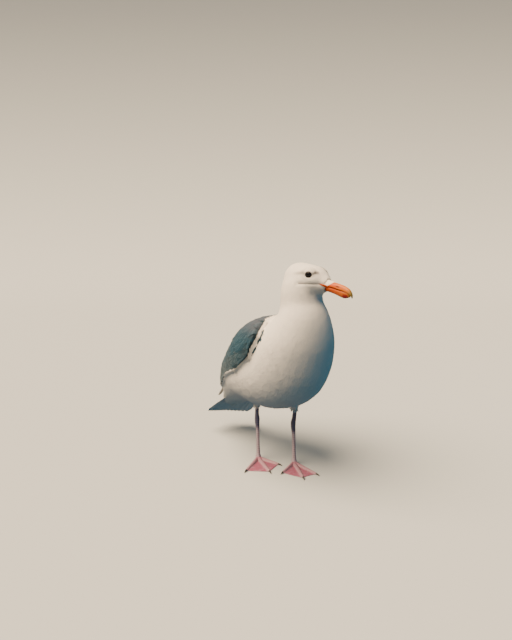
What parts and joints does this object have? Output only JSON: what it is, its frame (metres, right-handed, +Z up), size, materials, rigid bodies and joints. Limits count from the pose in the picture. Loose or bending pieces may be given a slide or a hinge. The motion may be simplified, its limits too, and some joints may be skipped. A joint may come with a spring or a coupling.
{
  "type": "standing gull model",
  "caption": "Life-size still model of an adult gull standing on two webbed feet, wings folded, head turned a little to its left.",
  "frame": {"origin": "floor level, under the middle of the whole model's box", "axes": "+Z up, -Y the way the body faces, +X towards the gull's left"},
  "size_m": [0.1834, 0.4248, 0.3651],
  "materials": {
    "white_plumage": "soft white feathers",
    "grey_plumage": "dark slate grey feathers",
    "black_plumage": "black wing-tip feathers",
    "bill": "satin yellow-orange horn with a red spot near the tip",
    "leg_skin": "scaly pink skin",
    "claw": "dark horn",
    "eye": "wet dark eye"
  },
  "bodies": {
    "root": {"head": "white_plumage", "neck": "white_plumage", "trunk": "white_plumage", "tail": "white_plumage", "thigh_left": "white_plumage", "thigh_right": "white_plumage", "wing_left": "grey_plumage", "wing_right": "grey_plumage", "primaries_left": "black_plumage", "primaries_right": "black_plumage", "bill_upper": "bill", "bill_lower": "bill", "eye_left": "eye", "eye_right": "eye", "shank_left": "leg_skin", "shank_right": "leg_skin", "foot_left": "leg_skin", "foot_right": "leg_skin", "claw_middle_left": "claw", "claw_outer_left": "claw", "claw_inner_left": "claw", "claw_back_left": "claw", "claw_middle_right": "claw", "claw_outer_right": "claw", "claw_inner_right": "claw", "claw_back_right": "claw"}
  },
  "joints": []
}
